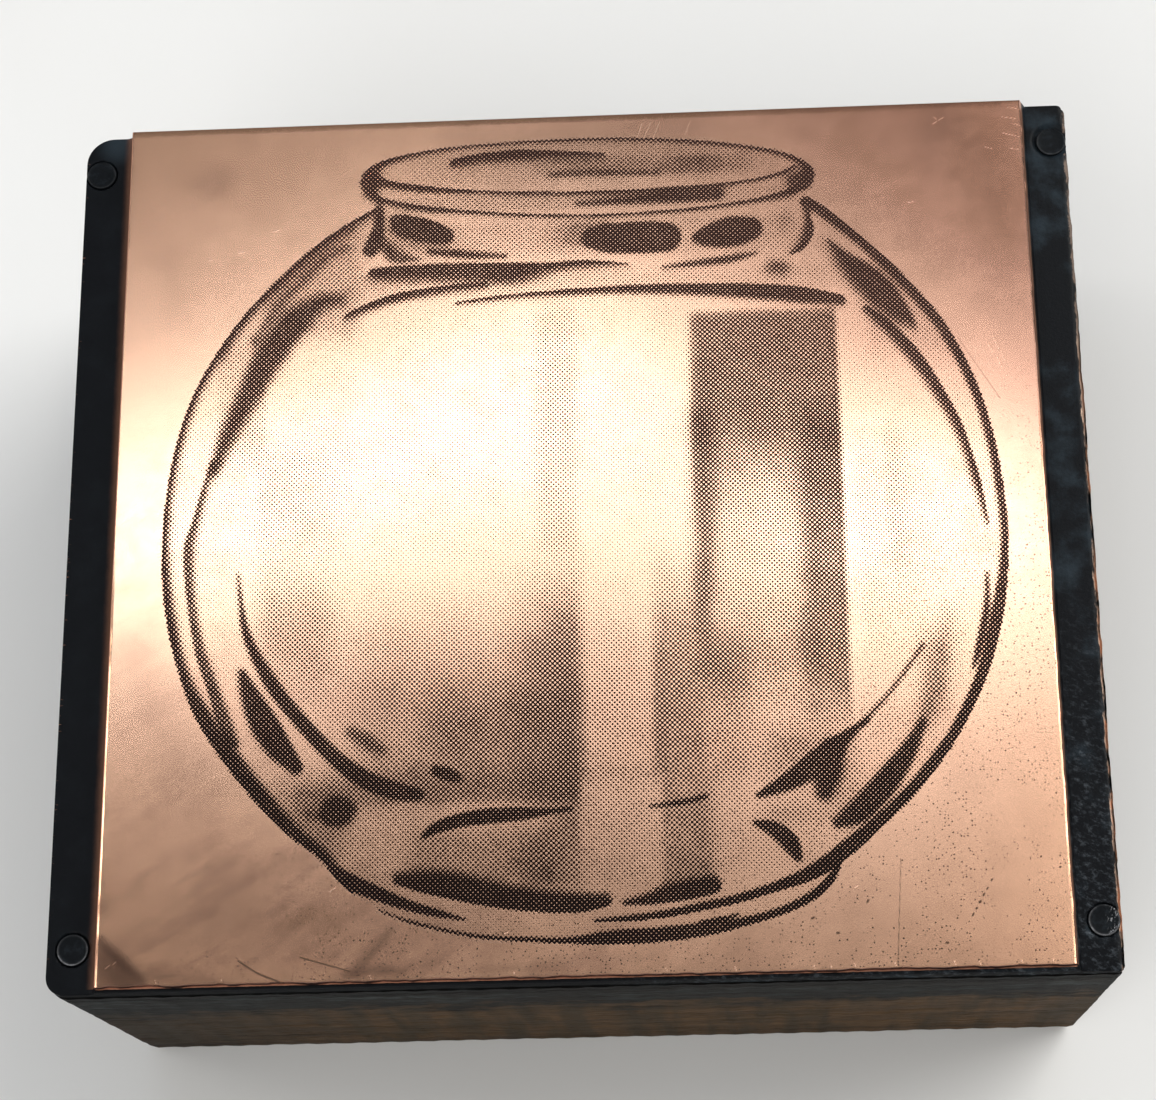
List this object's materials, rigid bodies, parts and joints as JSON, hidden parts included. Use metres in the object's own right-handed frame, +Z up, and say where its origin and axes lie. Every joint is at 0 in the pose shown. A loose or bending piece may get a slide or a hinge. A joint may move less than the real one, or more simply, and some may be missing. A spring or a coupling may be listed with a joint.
{
  "type": "letterpress printing block",
  "caption": "Type-high printing block: an etched copper halftone plate with lowered nailing flanges, held by flat-headed brads on a hardwood base.",
  "frame": {"origin": "middle of the block's underside, on the surface that it stands on", "axes": "+Z up, out of the printing face; +X towards the right of the picture, along the block's longer side; +Y towards the back, the top of the picture"},
  "size_m": [0.0574, 0.0508, 0.0233],
  "materials": {
    "plate_copper": "copper, satin on the printing face, black ink dried into the etching and over the flanges",
    "base_hardwood": "sawn bare hardwood, aged brown, stained blue-black with ink below the plate",
    "brad_steel": "bare steel, blackened with dried ink"
  },
  "bodies": {
    "root": {"halftone_plate": "plate_copper", "wood_block": "base_hardwood", "nail_back_left": "brad_steel", "nail_back_right": "brad_steel", "nail_front_left": "brad_steel", "nail_front_right": "brad_steel"}
  },
  "joints": []
}
